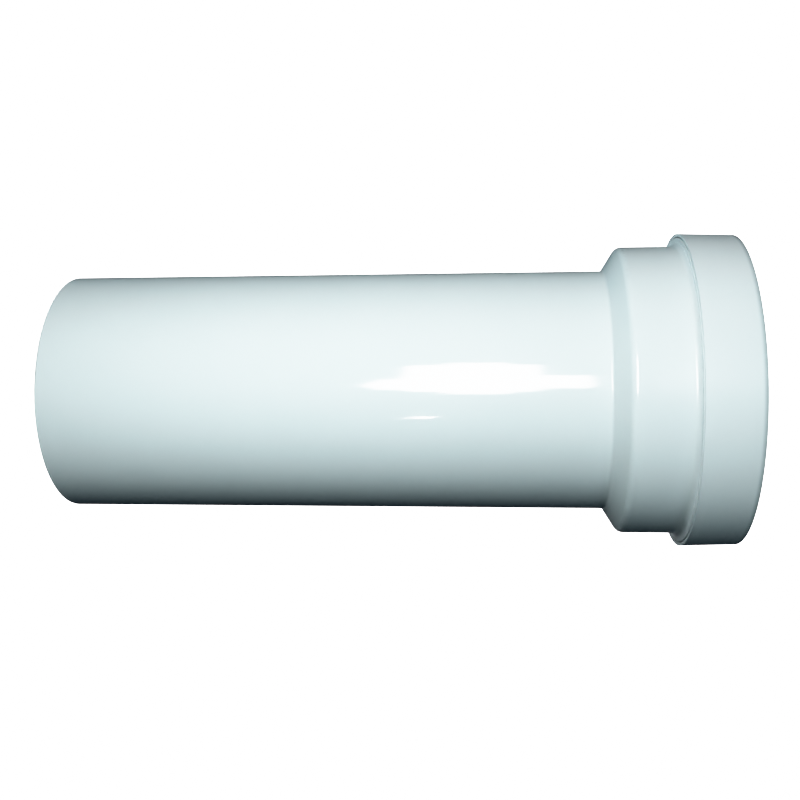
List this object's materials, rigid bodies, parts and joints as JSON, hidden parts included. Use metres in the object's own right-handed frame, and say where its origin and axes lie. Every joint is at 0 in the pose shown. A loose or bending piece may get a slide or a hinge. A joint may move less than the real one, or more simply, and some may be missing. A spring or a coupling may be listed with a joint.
{
  "type": "drain coupling sleeve",
  "caption": "Straight drain coupling sleeve: a plain round spigot, a sloping shoulder and a wider socket, closed by a push-fit cap that clamps a rubber lip seal.",
  "frame": {"origin": "on the axis of the bore, in the mouth face of the retaining cap, on which the part stands", "axes": "+Z along the bore from the mouth to the free end of the spigot; the part is round, so +X and +Y are free"},
  "size_m": [0.143, 0.143, 0.3074],
  "materials": {
    "white_plastic": "glossy moulded, faint cool tint",
    "seal_rubber": "matt, soft"
  },
  "bodies": {
    "root": {"pipe_body": "white_plastic", "retaining_cap": "white_plastic", "lip_seal": "seal_rubber"}
  },
  "joints": []
}
